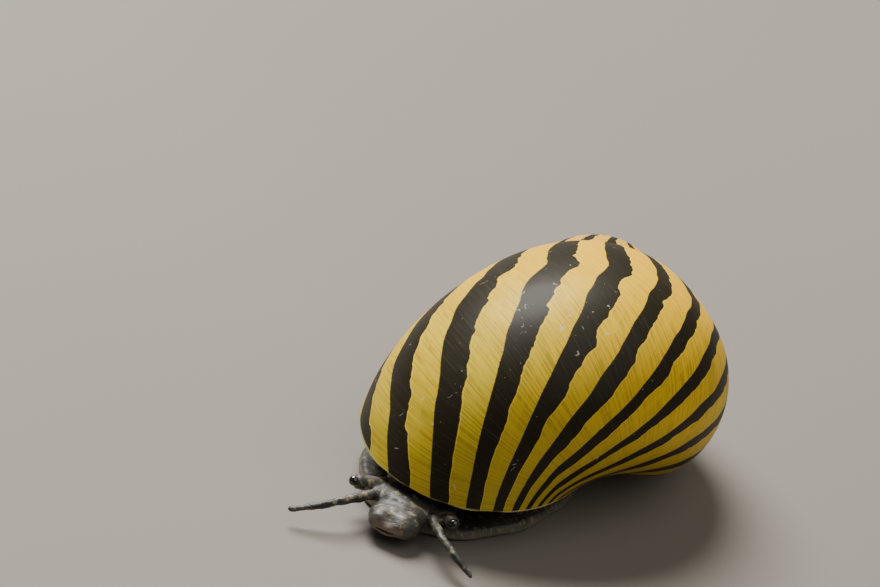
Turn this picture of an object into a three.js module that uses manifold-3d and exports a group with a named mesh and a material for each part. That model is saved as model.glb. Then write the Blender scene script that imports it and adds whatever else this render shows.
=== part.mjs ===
// Striped nerite snail at life size, resting on its foot with the shell lowered over it.
// Millimetres, +Z up. The origin is the centre of the foot's sole, on the surface it rests on.
// The head points to -Y, and the animal's left side is +X.
import * as THREE from 'three';
import { mergeVertices } from 'three/addons/utils/BufferGeometryUtils.js';
import Module from 'manifold-3d';

const wasm = await Module();
wasm.setup();

// Touching solids keep this much room between their faces.
const GAP = 0.3;

// The shell is a tube that turns about the spire's axis and widens as it turns.
// Turn 0 is close to the present mouth of the shell, and earlier turns are negative.
const RADIAL_GROWTH = 2.208;
const AXIAL_GROWTH = 2.675;
const TUBE_CENTRE_RADIUS = 3.89;
const TUBE_CENTRE_DEPTH = -13.56;
const TUBE_RADIUS = 8.72;
const TUBE_OVAL = { cos: -0.196, sin: -0.157 };
const TUBE_CORNERS = { cos: 0.056, sin: 0.052 };
const MOUTH_END_TURN = 0.19;
const NEW_HALF_TURN = -0.42;
const OLD_HALF_TURN = -0.85;
const SPIRE_STEP_TURNS = 0.8;
const SPIRE_WHORLS = 3;
const SPIRE_GAP_TURN = 0.012;
const AXIS_CLEARANCE = 0.02;

// A pillar on the spire's axis closes the middle of the turns.
const PILLAR_TOP = -1.2;
const PILLAR_BASE = -19.4;
const PILLAR_TOP_RADIUS = 0.25;
const PILLAR_BASE_RADIUS = 1.1;

// The spire's axis leans low over the animal's back, to its right.
const AXIS_ELEVATION = THREE.MathUtils.degToRad(23.8);
const AXIS_HEADING = THREE.MathUtils.degToRad(113.8);
const AXIS_SPIN = THREE.MathUtils.degToRad(107.5);
const APEX_ABOVE_LIP = 5.87;
const LIP_HEIGHT = 2.8;
const VENTRAL_FLAT_HEIGHT = 1.55;
const APEX_PLACE = new THREE.Vector3(-0.76, 14.56, LIP_HEIGHT + APEX_ABOVE_LIP);
const APEX_CAP_DEPTH = 0.9;

// The mouth of the shell is hollow above the foot, inside a wall this thick.
const SHELL_WALL = 0.8;
const MOUTH_DEPTH = 3.6;

// The straight, columellar edge of the mouth: its distance from the origin and its direction.
const DECK_LINE_AWAY = 5.05;
const DECK_LINE_ANGLE = THREE.MathUtils.degToRad(-56);

// Fineness of the faceted surfaces.
const WHORL_SIDES = 40;
const WHORL_STEPS = 22;
const SPIRE_SIDES = 24;
const SPIRE_STEPS = 16;
const MOUTH_SIDES = 28;
const MOUTH_STEPS = 12;
const MOUTH_END_WALL = 0.05;
const PILLAR_SIDES = 20;
const TOOTH_SIDES = 10;
const BODY_SIDES = 28;
const ROOM_SIDES = 24;
const EYE_SIDES = 16;
const TENTACLE_SIDES = 10;
const TENTACLE_STEPS = 16;
const EYE_STALK_SIDES = 12;
const EYE_STALK_STEPS = 4;
const OPERCULUM_SIDES = 24;

// Columellar deck.
const DECK_WIDTH = 2.6;
const DECK_THICKNESS = 0.7;
const DECK_RISE = 0.1;
const DECK_TEETH = 7;
const DECK_TOOTH = 0.32;
const DECK_TOOTH_STEP = 0.8;
const DECK_TEETH_MIDDLE = -2.4;

// Foot: a thin oval pad whose sole is flat, and a stalk up into the shell.
const FOOT_FRONT = 8.4;
const FOOT_REAR = 9.2;
const FOOT_HALF_WIDTH = 5.8;
const FOOT_HEIGHT = 0.9;
const FOOT_EDGE = 0.55;
const FOOT_EDGE_LIFT = 0.12;
const SOLE_CORNERS = [[3.2, -7], [4.9, -2.6], [4.9, 2.6], [3, 7.4]];
const FOOT_REAR_TAPER = 0.12;
const FOOT_SIDES = 40;
const FOOT_RINGS = 16;
const FOOT_CUTS = { front: -5.2, rear: 1.8 };

// Stalk that carries the shell, and the flesh that fills and lines the shell's mouth.
const STALK_PLACE = [-0.3, -2.2, 1.6];
const STALK_RADII = [3.6, 2.7, 3];
const STALK_LOW = 0.4;
const STALK_TOP = 3.6;
const PLUG_LOW = 3.9;
const EDGE_RISE = 0.25;
const EDGE_WIDTH = 0.7;

// Head.
const HEAD_CUT = -8.2;
const HEAD_PLACE = [0, -7.2, 1.55];
const HEAD_RADII = [2.2, 2.4, 0.93];
const SNOUT_PLACE = [0, -9.3, 1.25];
const SNOUT_RADII = [1.6, 1.5, 0.85];
const MOUTH_PLACE = [0, -10.6, 0.95];
const MOUTH_RADII = [0.8, 0.6, 0.16];
const TENTACLE_ROUTES = {
  left: [[1.3, -7.4, 1.6], [2.1, -9, 1.75], [3.2, -10.1, 1.7], [4.6, -10.8, 1.3], [5.9, -11.1, 0.7]],
  right: [[-1.3, -7.4, 1.6], [-2, -9.1, 1.75], [-2.8, -10.5, 1.7], [-4, -11.7, 1.3], [-5.3, -12.5, 0.9]],
};
const TENTACLE_ROOT = 0.37;
const TENTACLE_TIP = 0.2;
const TENTACLE_LENGTHS = { base: 3.1, middle: 4.6 };
const EYE_STALK_ROUTE = [[1.6, -7.1, 1.6], [2.4, -8, 1.8], [3.1, -8.7, 1.95]];
const EYE_STALK_ROOT = 0.48;
const EYE_STALK_TIP = 0.4;
const EYE_PLACE = [3.2, -8.85, 2.05];
const EYE_RADIUS = 0.3;

// Operculum.
const OPERCULUM_HALF_LENGTH = 2.4;
const OPERCULUM_DEPTH = 2.3;
const OPERCULUM_THICKNESS = 0.55;
const OPERCULUM_PLACE = [-2.2, 3.5, 1.3];

const placement = new THREE.Matrix4()
  .makeTranslation(APEX_PLACE.x, APEX_PLACE.y, APEX_PLACE.z)
  .multiply(new THREE.Matrix4().makeRotationZ(AXIS_HEADING))
  .multiply(new THREE.Matrix4().makeRotationY(Math.PI / 2 - AXIS_ELEVATION))
  .multiply(new THREE.Matrix4().makeRotationZ(AXIS_SPIN));

// A solid is a closed mesh with its shared corners merged and its faces pointing out.
function solidOf(geometry) {
  const bare = geometry.index ? geometry.clone() : geometry;
  bare.deleteAttribute('normal');
  bare.deleteAttribute('uv');
  const merged = mergeVertices(bare, 1e-5);
  const points = merged.attributes.position.array;
  const corners = Array.from(merged.index.array);
  const faces = [];
  let volume = 0;
  const a = new THREE.Vector3();
  const b = new THREE.Vector3();
  const c = new THREE.Vector3();
  for (let i = 0; i < corners.length; i += 3) {
    const [p, q, r] = corners.slice(i, i + 3);
    if (p === q || q === r || r === p) continue;
    a.fromArray(points, 3 * p);
    b.fromArray(points, 3 * q);
    c.fromArray(points, 3 * r);
    volume += a.dot(b.cross(c));
    faces.push(p, q, r);
  }
  if (volume < 0) faces.reverse();
  return new wasm.Manifold(new wasm.Mesh({
    numProp: 3,
    vertProperties: Float32Array.from(points),
    triVerts: Uint32Array.from(faces),
  }));
}

// The outline of the tube: distance from the axis and height along it, at one turn and angle.
function tubeRadius(angle, offset) {
  const oval = TUBE_OVAL.cos * Math.cos(2 * angle) + TUBE_OVAL.sin * Math.sin(2 * angle);
  const corners = TUBE_CORNERS.cos * Math.cos(3 * angle) + TUBE_CORNERS.sin * Math.sin(3 * angle);
  return TUBE_RADIUS * (1 + oval + corners) + offset;
}

function tubeOutline(turn, angle, wall) {
  const radial = RADIAL_GROWTH ** turn;
  const axial = AXIAL_GROWTH ** turn;
  const radius = tubeRadius(angle, wall / radial);
  return {
    out: radial * (TUBE_CENTRE_RADIUS + radius * Math.cos(angle)),
    up: axial * (TUBE_CENTRE_DEPTH + radius * Math.sin(angle)),
  };
}

// The angle at which the outline crosses the axis, found by halving between two angles that enclose it.
const HALVINGS = 40;

function axisCrossing(outside, inside) {
  let near = outside;
  let far = inside;
  for (let i = 0; i < HALVINGS; i += 1) {
    const middle = (near + far) / 2;
    if (tubeOutline(0, middle, 0).out > 0) near = middle;
    else far = middle;
  }
  return (near + far) / 2;
}

const TOP_CROSSING = axisCrossing(Math.PI / 2, Math.PI);
const BASE_CROSSING = axisCrossing(-Math.PI / 2, -Math.PI);

// One stretch of the tube between two turns, on one side of the axis. It is a cylinder whose sides
// follow the outline and whose ends are turned into the cross-sections of the first and last turn.
function tubeStretch(firstTurn, lastTurn, firstAngle, lastAngle, wall, sides, steps) {
  const geometry = new THREE.CylinderGeometry(1, 1, 1, sides, steps, false);
  const spots = geometry.attributes.position;
  const spot = new THREE.Vector3();
  const side = Math.sign(tubeOutline(0, (firstAngle + lastAngle) / 2, 0).out);
  for (let i = 0; i < spots.count; i += 1) {
    spot.fromBufferAttribute(spots, i);
    const turn = firstTurn + (lastTurn - firstTurn) * (spot.y + 0.5);
    let lap = Math.round(sides * Math.atan2(spot.x, spot.z) / (2 * Math.PI));
    lap = (lap + sides) % sides;
    const angle = firstAngle + (lastAngle - firstAngle) * lap / (sides - 1);
    let { out, up } = tubeOutline(turn, angle, wall);
    if (Math.hypot(spot.x, spot.z) < 0.5) {
      out = RADIAL_GROWTH ** turn * (TUBE_CENTRE_RADIUS + side * TUBE_RADIUS / 2) / 2;
      up = AXIAL_GROWTH ** turn * TUBE_CENTRE_DEPTH;
    }
    out = side * Math.max(side * out, AXIS_CLEARANCE * RADIAL_GROWTH ** turn);
    const around = -2 * Math.PI * turn;
    spot.set(out * Math.cos(around), out * Math.sin(around), up).applyMatrix4(placement);
    spots.setXYZ(i, spot.x, spot.y, spot.z);
  }
  return solidOf(geometry);
}

function outerStretch(firstTurn, lastTurn, wall, sides, steps) {
  return tubeStretch(firstTurn, lastTurn, TOP_CROSSING, BASE_CROSSING, wall, sides, steps);
}

function innerStretch(firstTurn, lastTurn, wall, sides, steps) {
  return tubeStretch(firstTurn, lastTurn, BASE_CROSSING, TOP_CROSSING - 2 * Math.PI, wall, sides, steps);
}

function pillar(wall) {
  const geometry = new THREE.CylinderGeometry(
    PILLAR_TOP_RADIUS + wall, PILLAR_BASE_RADIUS + wall, PILLAR_TOP - PILLAR_BASE, PILLAR_SIDES, 1);
  geometry.rotateX(Math.PI / 2);
  geometry.translate(0, 0, (PILLAR_TOP + PILLAR_BASE) / 2);
  geometry.applyMatrix4(placement);
  return solidOf(geometry);
}

// A block with two opposite corners given.
function block(low, high) {
  const geometry = new THREE.BoxGeometry(high[0] - low[0], high[1] - low[1], high[2] - low[2]);
  geometry.translate((low[0] + high[0]) / 2, (low[1] + high[1]) / 2, (low[2] + high[2]) / 2);
  return solidOf(geometry);
}

const REACH = 40;

function below(height) {
  return block([-REACH, -REACH, -REACH], [REACH, REACH, height]);
}

// The largest closed body of a solid.
function largestBody(solid) {
  return solid.decompose().reduce((best, next) => (next.volume() > best.volume() ? next : best));
}

// The body whorl: the older half, flattened under the animal's back, and the newer half with the mouth.
function bodyWhorl(wall, sides, steps) {
  const older = outerStretch(OLD_HALF_TURN, NEW_HALF_TURN, wall, sides, steps);
  const newer = outerStretch(NEW_HALF_TURN, MOUTH_END_TURN, wall, sides, steps)
    .add(innerStretch(NEW_HALF_TURN, MOUTH_END_TURN, wall, sides, steps))
    .add(pillar(wall));
  return older.subtract(below(VENTRAL_FLAT_HEIGHT - wall)).add(newer.subtract(below(LIP_HEIGHT - wall)));
}

// Everything nearer the apex than a depth along the spire's axis.
function towardsApex(depth) {
  const geometry = new THREE.BoxGeometry(REACH, REACH, REACH);
  geometry.translate(0, 0, REACH / 2 - depth);
  geometry.applyMatrix4(placement);
  return solidOf(geometry);
}

// The earlier whorls, stacked towards the apex.
function earlierWhorls(sides, steps) {
  const end = OLD_HALF_TURN - SPIRE_GAP_TURN;
  let whorls = outerStretch(end - SPIRE_STEP_TURNS, end, 0, sides, steps);
  for (let i = 1; i < SPIRE_WHORLS; i += 1) {
    const last = end - i * SPIRE_STEP_TURNS;
    whorls = whorls.add(outerStretch(last - SPIRE_STEP_TURNS, last, 0, sides, steps));
  }
  return whorls.add(pillar(0));
}

// What is left of the shell's mouth inside a wall: the room for the animal, in front of the deck line.
function mouthRoom(wall, low, high, back) {
  const room = outerStretch(NEW_HALF_TURN, MOUTH_END_TURN - MOUTH_END_WALL, -wall, MOUTH_SIDES, MOUTH_STEPS)
    .add(innerStretch(NEW_HALF_TURN, MOUTH_END_TURN - MOUTH_END_WALL, -wall, MOUTH_SIDES, MOUTH_STEPS))
    .add(pillar(GAP));
  return room.intersect(deckSide(low, high, back));
}

// A slab between two heights, reaching back to a line beside the deck line.
function deckSide(low, high, back) {
  const geometry = new THREE.BoxGeometry(2 * REACH, REACH, high - low);
  geometry.translate(0, DECK_LINE_AWAY + back - REACH / 2, (high + low) / 2);
  geometry.rotateZ(DECK_LINE_ANGLE);
  return solidOf(geometry);
}

// Soft and rounded forms.
function ellipsoid(centre, radii, sides) {
  const geometry = new THREE.SphereGeometry(1, sides, Math.round(sides * 0.6));
  geometry.rotateX(Math.PI / 2);
  geometry.scale(...radii);
  geometry.translate(...centre);
  return solidOf(geometry);
}

// A round tube along a curve, which narrows from its root to its tip.
function taperedTube(points, rootRadius, tipRadius, sides, steps) {
  const curve = new THREE.CatmullRomCurve3(points.map((p) => new THREE.Vector3(...p)));
  const geometry = new THREE.CylinderGeometry(1, 1, 1, sides, steps, false);
  const spots = geometry.attributes.position;
  const spot = new THREE.Vector3();
  const upward = new THREE.Vector3(0, 0, 1);
  for (let i = 0; i < spots.count; i += 1) {
    spot.fromBufferAttribute(spots, i);
    const along = spot.y + 0.5;
    const ahead = curve.getTangent(along);
    const side = new THREE.Vector3().crossVectors(ahead, upward).normalize();
    const top = new THREE.Vector3().crossVectors(side, ahead);
    const radius = rootRadius + (tipRadius - rootRadius) * along;
    const place = curve.getPoint(along)
      .addScaledVector(side, spot.x * radius)
      .addScaledVector(top, spot.z * radius);
    spots.setXYZ(i, place.x, place.y, place.z);
  }
  return solidOf(geometry);
}

const root = new THREE.Group();

function addNode(name, solid, finish) {
  const mesh = largestBody(solid).getMesh();
  const geometry = new THREE.BufferGeometry();
  geometry.setAttribute('position', new THREE.BufferAttribute(Float32Array.from(mesh.vertProperties), 3));
  geometry.setIndex(Array.from(mesh.triVerts));
  geometry.computeVertexNormals();
  const node = new THREE.Mesh(geometry, new THREE.MeshStandardMaterial(finish));
  node.name = name;
  root.add(node);
}

const SHELL = { color: 0xc9a227, roughness: 0.3, metalness: 0 };
const SPIRE = { color: 0xb5762f, roughness: 0.4, metalness: 0 };
const APEX = { color: 0xa89a86, roughness: 0.6, metalness: 0 };
const INNER_SHELL = { color: 0xcfc3a0, roughness: 0.35, metalness: 0 };
const FLESH = { color: 0x4b463c, roughness: 0.5, metalness: 0 };
const EYE = { color: 0x0c0b0a, roughness: 0.1, metalness: 0 };

// Shell: body whorl with the hollow of its mouth, then the spire and the worn apex.
const body = bodyWhorl(0, WHORL_SIDES, WHORL_STEPS);
const hollow = mouthRoom(SHELL_WALL, -REACH, LIP_HEIGHT + MOUTH_DEPTH, 0);
addNode('shell_body_whorl', body.subtract(hollow), SHELL);

const early = earlierWhorls(SPIRE_SIDES, SPIRE_STEPS).subtract(bodyWhorl(GAP, WHORL_SIDES, WHORL_STEPS));
addNode('shell_spire', early.subtract(towardsApex(APEX_CAP_DEPTH + GAP / 2)), SPIRE);
addNode('shell_apex', early.intersect(towardsApex(APEX_CAP_DEPTH - GAP / 2)), APEX);

// Columellar deck: a thin shelf across the back of the mouth, with fine teeth on its free edge.
function deckPlate(margin) {
  const low = LIP_HEIGHT + DECK_RISE - margin;
  const high = LIP_HEIGHT + DECK_RISE + DECK_THICKNESS + margin;
  let plate = deckSide(low, high, -GAP + margin).subtract(deckSide(low - 1, high + 1, -DECK_WIDTH - margin));
  for (let i = 0; i < DECK_TEETH; i += 1) {
    const tooth = new THREE.CylinderGeometry(DECK_TOOTH + margin, DECK_TOOTH + margin, high - low, TOOTH_SIDES);
    tooth.rotateX(Math.PI / 2);
    const across = (i - (DECK_TEETH - 1) / 2) * DECK_TOOTH_STEP;
    tooth.translate(across + DECK_TEETH_MIDDLE, DECK_LINE_AWAY - DECK_WIDTH, (high + low) / 2);
    tooth.rotateZ(DECK_LINE_ANGLE);
    plate = plate.add(solidOf(tooth));
  }
  return plate;
}

const deck = deckPlate(0).intersect(mouthRoom(SHELL_WALL + GAP, -REACH, REACH, 0));
addNode('columellar_deck', deck, INNER_SHELL);

// Flesh: the foot in three lengths, with the stalk that carries the shell in its middle length.
function footPad() {
  const geometry = new THREE.SphereGeometry(1, FOOT_SIDES, FOOT_RINGS);
  geometry.rotateX(Math.PI / 2);
  const spots = geometry.attributes.position;
  for (let i = 0; i < spots.count; i += 1) {
    const height = Math.max(spots.getZ(i), 0);
    const reach = Math.hypot(spots.getX(i), spots.getY(i));
    const thick = height > 1e-6 ? FOOT_EDGE + (FOOT_HEIGHT - FOOT_EDGE) * (1 - reach ** 3) : 0;
    const length = spots.getY(i) < 0 ? FOOT_FRONT : FOOT_REAR;
    const taper = 1 - FOOT_REAR_TAPER * Math.max(spots.getY(i), 0) ** 2;
    const rise = FOOT_EDGE_LIFT + thick * Math.min(1, 4 * height);
    spots.setXYZ(i, spots.getX(i) * FOOT_HALF_WIDTH * taper, spots.getY(i) * length, rise);
  }
  const half = SOLE_CORNERS.map(([x, y]) => new THREE.Vector2(x, y));
  const otherHalf = SOLE_CORNERS.map(([x, y]) => new THREE.Vector2(-x, y)).reverse();
  const sole = new THREE.ExtrudeGeometry(new THREE.Shape([...half, ...otherHalf]), {
    depth: 2 * FOOT_EDGE_LIFT,
    bevelEnabled: false,
  });
  return solidOf(geometry).add(solidOf(sole));
}

function lengthOf(solid, low, high) {
  return solid.intersect(block([-REACH, low, -1], [REACH, high, REACH]));
}

const pad = footPad();
const stalk = ellipsoid(STALK_PLACE, STALK_RADII, BODY_SIDES)
  .intersect(block([-REACH, -REACH, STALK_LOW], [REACH, REACH, STALK_TOP]));
addNode('foot_front', lengthOf(pad, -REACH, FOOT_CUTS.front - GAP), FLESH);
addNode('foot_middle', lengthOf(pad, FOOT_CUTS.front, FOOT_CUTS.rear).add(stalk), FLESH);
addNode('foot_rear', lengthOf(pad, FOOT_CUTS.rear + GAP, REACH), FLESH);

// Flesh inside the mouth of the shell, and its edge along the lip.
const plug = mouthRoom(SHELL_WALL + GAP, PLUG_LOW, LIP_HEIGHT + MOUTH_DEPTH - GAP, -GAP);
addNode('mantle_body', plug, FLESH);
const edge = mouthRoom(SHELL_WALL + GAP, LIP_HEIGHT + EDGE_RISE, PLUG_LOW - GAP, -DECK_WIDTH - 4 * GAP)
  .subtract(mouthRoom(SHELL_WALL + GAP + EDGE_WIDTH, -REACH, REACH, 0));
addNode('mantle_edge', edge, FLESH);

// Head, snout with the slit of the mouth at its front, tentacles and eyes.
function grown(radii, extra) {
  return radii.map((radius) => radius + extra);
}

const footRoom = block([-REACH, -FOOT_FRONT - GAP, -1], [REACH, REACH, FOOT_HEIGHT + GAP / 2]);
const stalkRoom = ellipsoid(STALK_PLACE, grown(STALK_RADII, GAP), BODY_SIDES);
const headForm = ellipsoid(HEAD_PLACE, HEAD_RADII, BODY_SIDES)
  .add(ellipsoid(SNOUT_PLACE, SNOUT_RADII, BODY_SIDES))
  .subtract(footRoom)
  .subtract(stalkRoom);
const headRoom = ellipsoid(HEAD_PLACE, grown(HEAD_RADII, GAP), BODY_SIDES)
  .add(ellipsoid(SNOUT_PLACE, grown(SNOUT_RADII, GAP), BODY_SIDES));
const mouthSlit = ellipsoid(MOUTH_PLACE, MOUTH_RADII, EYE_SIDES);
addNode('head', lengthOf(headForm, HEAD_CUT + GAP, REACH), FLESH);
addNode('snout', lengthOf(headForm, -REACH, HEAD_CUT).subtract(mouthSlit), FLESH);

for (const [side, sign] of [['left', 1], ['right', -1]]) {
  const mirrored = ([x, y, z]) => [sign * x, y, z];
  const route = TENTACLE_ROUTES[side];
  const tentacle = taperedTube(route, TENTACLE_ROOT, TENTACLE_TIP, TENTACLE_SIDES, TENTACLE_STEPS)
    .subtract(headRoom);
  const within = (reach) => ellipsoid(route[0], [reach, reach, reach], ROOM_SIDES);
  const { base, middle } = TENTACLE_LENGTHS;
  addNode(`tentacle_${side}_base`, tentacle.intersect(within(base)), FLESH);
  const beyondBase = tentacle.subtract(within(base + GAP));
  addNode(`tentacle_${side}_middle`, beyondBase.intersect(within(middle)), FLESH);
  addNode(`tentacle_${side}_tip`, tentacle.subtract(within(middle + GAP)), FLESH);
  const tentacleRoom = taperedTube(
    route, TENTACLE_ROOT + GAP, TENTACLE_TIP + GAP, TENTACLE_SIDES, TENTACLE_STEPS);
  const eyeAt = mirrored(EYE_PLACE);
  const eyeRadii = [EYE_RADIUS, EYE_RADIUS, EYE_RADIUS];
  const eyeRoom = ellipsoid(eyeAt, grown(eyeRadii, GAP), EYE_SIDES);
  const stalkRoute = EYE_STALK_ROUTE.map(mirrored);
  const eyeStalk = taperedTube(
    stalkRoute, EYE_STALK_ROOT, EYE_STALK_TIP, EYE_STALK_SIDES, EYE_STALK_STEPS)
    .subtract(headRoom)
    .subtract(tentacleRoom)
    .subtract(eyeRoom);
  addNode(`eye_stalk_${side}`, eyeStalk, FLESH);
  addNode(`eye_${side}`, ellipsoid(eyeAt, eyeRadii, EYE_SIDES), EYE);
}

// Operculum: the hard plate on the foot's back, D-shaped, its straight edge along the deck.
function operculumPlate() {
  const outline = new THREE.Shape();
  outline.absellipse(0, 0, OPERCULUM_HALF_LENGTH, OPERCULUM_DEPTH, Math.PI, 2 * Math.PI, false, 0);
  outline.closePath();
  const geometry = new THREE.ExtrudeGeometry(outline, {
    depth: OPERCULUM_THICKNESS,
    bevelEnabled: false,
    curveSegments: OPERCULUM_SIDES,
  });
  geometry.rotateZ(DECK_LINE_ANGLE);
  geometry.translate(...OPERCULUM_PLACE);
  return solidOf(geometry);
}

addNode('operculum', operculumPlate().subtract(stalkRoom), INNER_SHELL);

export default root;
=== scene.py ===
import math

import bmesh
import bpy
from mathutils import Matrix, Vector, noise


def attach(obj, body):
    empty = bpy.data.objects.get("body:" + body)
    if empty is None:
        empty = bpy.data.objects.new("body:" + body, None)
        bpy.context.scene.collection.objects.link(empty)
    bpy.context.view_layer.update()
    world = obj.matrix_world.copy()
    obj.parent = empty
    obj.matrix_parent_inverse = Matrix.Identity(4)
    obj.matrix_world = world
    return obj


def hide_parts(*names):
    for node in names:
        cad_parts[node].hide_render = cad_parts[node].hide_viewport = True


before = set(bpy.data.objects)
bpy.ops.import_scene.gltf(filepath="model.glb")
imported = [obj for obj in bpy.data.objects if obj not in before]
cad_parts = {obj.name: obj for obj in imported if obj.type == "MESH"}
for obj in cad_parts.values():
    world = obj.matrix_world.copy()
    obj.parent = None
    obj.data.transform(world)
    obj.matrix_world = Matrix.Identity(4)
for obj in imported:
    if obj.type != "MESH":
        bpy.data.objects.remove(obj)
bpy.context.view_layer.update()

METRES_PER_MM = 0.001


# The view. A long lens looks down on the animal's left front. The picture leans a little, as a
# hand-held camera does, and the animal sits low and to the right in it.
VIEW_WIDTH_PX, VIEW_HEIGHT_PX = 880, 587
SHELL_SCALE_PX_PER_MM = 17.9
APEX_PX = (607.4, 238.0)
APEX = Vector((-0.76, 14.56, 8.67))
TOWARDS_CAMERA = Vector((0.324, -0.802, 0.503)).normalized()
NEARLY_RIGHT = Vector((0.868, 0.464, 0.179))
PICTURE_UP = TOWARDS_CAMERA.cross(NEARLY_RIGHT).normalized()
PICTURE_RIGHT = PICTURE_UP.cross(TOWARDS_CAMERA).normalized()
CAMERA_AWAY_MM = 1500.0
APEX_BEHIND_FOCUS_MM = 11.0
SENSOR_WIDTH_MM = 36.0
NEAREST_SEEN_M, FARTHEST_SEEN_M = 0.01, 10.0

apex_right = (APEX_PX[0] - VIEW_WIDTH_PX / 2) / SHELL_SCALE_PX_PER_MM
apex_up = (VIEW_HEIGHT_PX / 2 - APEX_PX[1]) / SHELL_SCALE_PX_PER_MM
aim = APEX - apex_right * PICTURE_RIGHT - apex_up * PICTURE_UP
camera_spot = aim + (APEX_BEHIND_FOCUS_MM + CAMERA_AWAY_MM) * TOWARDS_CAMERA
lens = bpy.data.cameras.new("view")
lens.sensor_width = SENSOR_WIDTH_MM
lens.lens = SHELL_SCALE_PX_PER_MM * CAMERA_AWAY_MM * SENSOR_WIDTH_MM / VIEW_WIDTH_PX
lens.clip_start = NEAREST_SEEN_M
lens.clip_end = FARTHEST_SEEN_M
camera = bpy.data.objects.new("view", lens)
bpy.context.scene.collection.objects.link(camera)
pose = Matrix((PICTURE_RIGHT, PICTURE_UP, TOWARDS_CAMERA)).transposed().to_4x4()
pose.translation = camera_spot * METRES_PER_MM
camera.matrix_world = pose
bpy.context.scene.camera = camera


# The board that it is shown on. It is wide, matt and pale grey, and lies flat, so that it hides the
# animal from no side. Its finish is wired with a small class, as those of the animal are.
BOARD_HALF_WIDTH_MM = 900.0
BOARD_GREY = (0.215, 0.195, 0.170)
BOARD_PALE = (0.240, 0.219, 0.192)
BOARD_MOTTLES_PER_M = 9.0
BOARD_ROUGHNESS = 0.75


class Wire:
    """A socket in a material: a sum on it adds its Math node, and node() adds any other node."""

    def __init__(self, socket):
        self.socket = socket

    def node(self, kind, settings, values, output=0):
        tree = self.socket.id_data
        made = tree.nodes.new("ShaderNode" + kind)
        for name, value in settings.items():
            setattr(made, name, value)
        for place, value in values.items():
            if isinstance(value, Wire):
                tree.links.new(value.socket, made.inputs[place])
            else:
                made.inputs[place].default_value = value
        return Wire(made.outputs[output])

    def math(self, operation, *others):
        return self.node("Math", {"operation": operation}, dict(enumerate((self, *others))))

    def __add__(self, other):
        return self.math("ADD", other)

    def __sub__(self, other):
        return self.math("SUBTRACT", other)

    def __rsub__(self, other):
        return self.node("Math", {"operation": "SUBTRACT"}, {0: other, 1: self})

    def __mul__(self, other):
        return self.math("MULTIPLY", other)

    def __truediv__(self, other):
        return self.math("DIVIDE", other)

    def __rtruediv__(self, other):
        return self.node("Math", {"operation": "DIVIDE"}, {0: other, 1: self})

    __radd__ = __add__
    __rmul__ = __mul__

    def step(self, low, high):
        """0 below low, 1 above high, and a soft rise between them."""
        settings = {"interpolation_type": "SMOOTHSTEP"}
        return self.node("MapRange", settings, {0: self, 1: low, 2: high})

    def tint(self, off, on):
        """One colour where the value is 0 and the other where it is 1."""
        values = {0: self}
        for place, colour in ((6, off), (7, on)):
            values[place] = colour if isinstance(colour, Wire) else (*colour, 1.0)
        return self.node("Mix", {"data_type": "RGBA"}, values, output=2)

    def grain(self, scale, detail=2.0, roughness=0.5):
        settings = {"noise_dimensions": "3D"}
        return self.node("TexNoise", settings, {0: self, 2: scale, 3: detail, 4: roughness})

    def stretched(self, scale):
        return self.node("Mapping", {}, {0: self, 3: scale})

    def part(self, axis):
        return self.node("SeparateXYZ", {}, {0: self}, output=axis)

    def away_from(self, spot):
        settings = {"operation": "DISTANCE"}
        return self.node("VectorMath", settings, {0: self, 1: spot}, output=1)


def new_finish(name):
    """A material, its shader, and the place on the piece that its patterns are worked out from."""
    material = bpy.data.materials.new(name)
    material.use_nodes = True
    nodes = material.node_tree.nodes
    place = Wire(nodes.new("ShaderNodeTexCoord").outputs["Object"])
    return material, nodes["Principled BSDF"], place


def feed(shader, name, wire):
    shader.id_data.links.new(wire.socket, shader.inputs[name])


def make_board():
    form = bmesh.new()
    bmesh.ops.create_grid(form, x_segments=1, y_segments=1, size=BOARD_HALF_WIDTH_MM)
    bmesh.ops.scale(form, vec=(METRES_PER_MM,) * 3, verts=form.verts)
    mesh = bpy.data.meshes.new("board")
    form.to_mesh(mesh)
    form.free()
    mesh.shade_smooth()
    return mesh


def paint_board():
    material, shader, place = new_finish("board_matt")
    mottle = place.grain(BOARD_MOTTLES_PER_M, 3.0)
    feed(shader, "Base Color", mottle.step(0.3, 0.7).tint(BOARD_GREY, BOARD_PALE))
    shader.inputs["Roughness"].default_value = BOARD_ROUGHNESS
    return material


board = bpy.data.objects.new("board", make_board())
board.data.materials.append(paint_board())
bpy.context.scene.collection.objects.link(board)


# The light. A window high on the left lays one soft gleam on the shoulder of the shell. A broad
# sheet on the other side opens the shadows, and the room adds very little.
MIDDLE_OF_SNAIL = Vector((0.0, 2.0, 6.0))
WINDOW_FROM, WINDOW_AWAY_MM, WINDOW_WIDTH_MM = Vector((-0.50, 0.34, 0.80)), 260.0, 170.0
WINDOW_POWER, WINDOW_COLOUR = 1.68, (1.0, 0.975, 0.93)
FILL_FROM, FILL_AWAY_MM, FILL_WIDTH_MM = Vector((0.72, -0.10, 1.02)), 420.0, 520.0
FILL_POWER, FILL_COLOUR = 0.74, (1.0, 0.97, 0.91)
ROOM_STRENGTH, ROOM_COLOUR = 0.068, (1.0, 0.97, 0.93, 1.0)


def hang_light(name, direction, away_mm, width_mm, power, colour):
    lamp = bpy.data.lights.new(name, "AREA")
    lamp.shape = "DISK"
    lamp.size = width_mm * METRES_PER_MM
    lamp.energy = power
    lamp.color = colour
    holder = bpy.data.objects.new(name, lamp)
    bpy.context.scene.collection.objects.link(holder)
    towards = direction.normalized()
    place = towards.to_track_quat("Z", "Y").to_matrix().to_4x4()
    place.translation = (MIDDLE_OF_SNAIL + away_mm * towards) * METRES_PER_MM
    holder.matrix_world = place


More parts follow.
